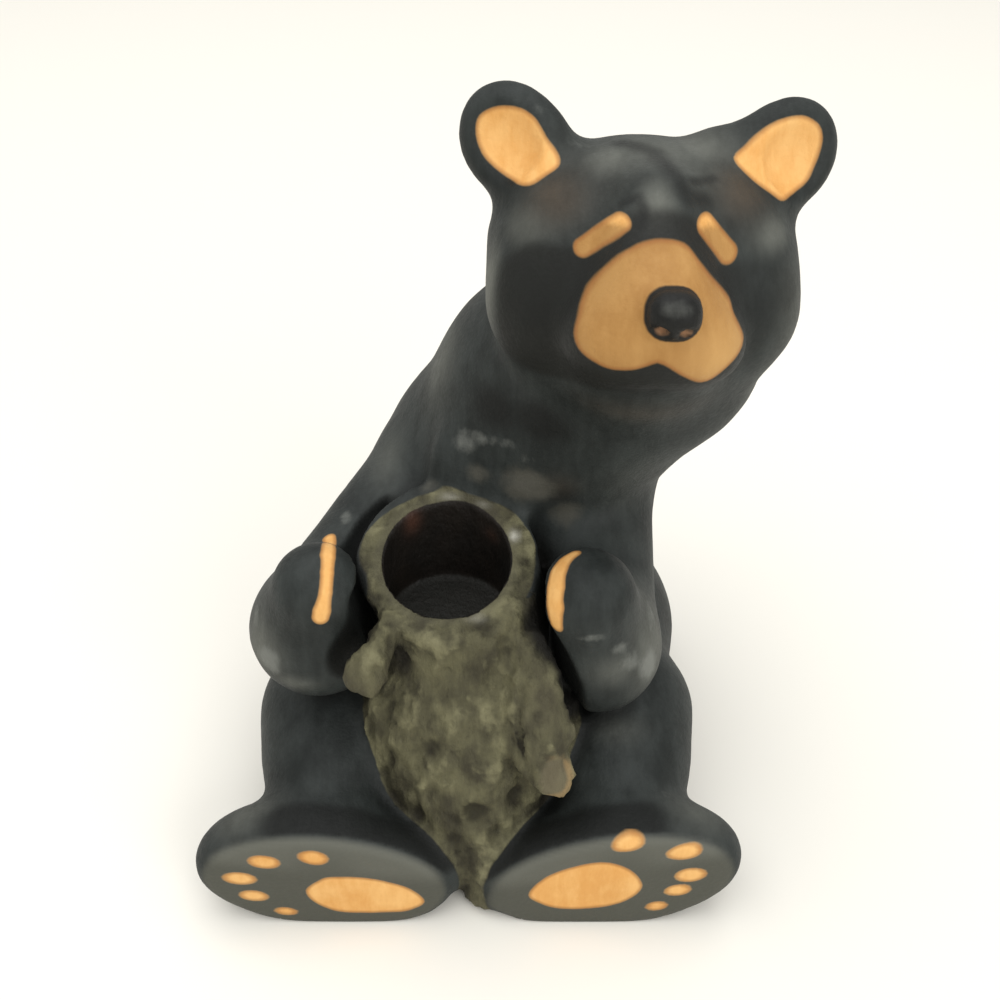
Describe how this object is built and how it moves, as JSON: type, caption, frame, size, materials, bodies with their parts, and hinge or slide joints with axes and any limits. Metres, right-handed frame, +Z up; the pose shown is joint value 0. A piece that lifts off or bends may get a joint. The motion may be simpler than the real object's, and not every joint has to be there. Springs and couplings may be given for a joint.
{
  "type": "figurine candle holder",
  "caption": "Sitting bear that hugs a hollow tree stump; a round bore in the stump's sloping top holds a taper candle.",
  "frame": {"origin": "on the flat underside, below the middle of the figure", "axes": "+Z up; the bear faces -Y; +X is to the right for someone who looks at its face"},
  "size_m": [0.109, 0.0985, 0.1348],
  "materials": {
    "painted_resin": "cast resin, hand painted, satin charcoal with tan patches and an olive brown stump"
  },
  "bodies": {
    "root": {"bear_candle_holder": "painted_resin"}
  },
  "joints": []
}
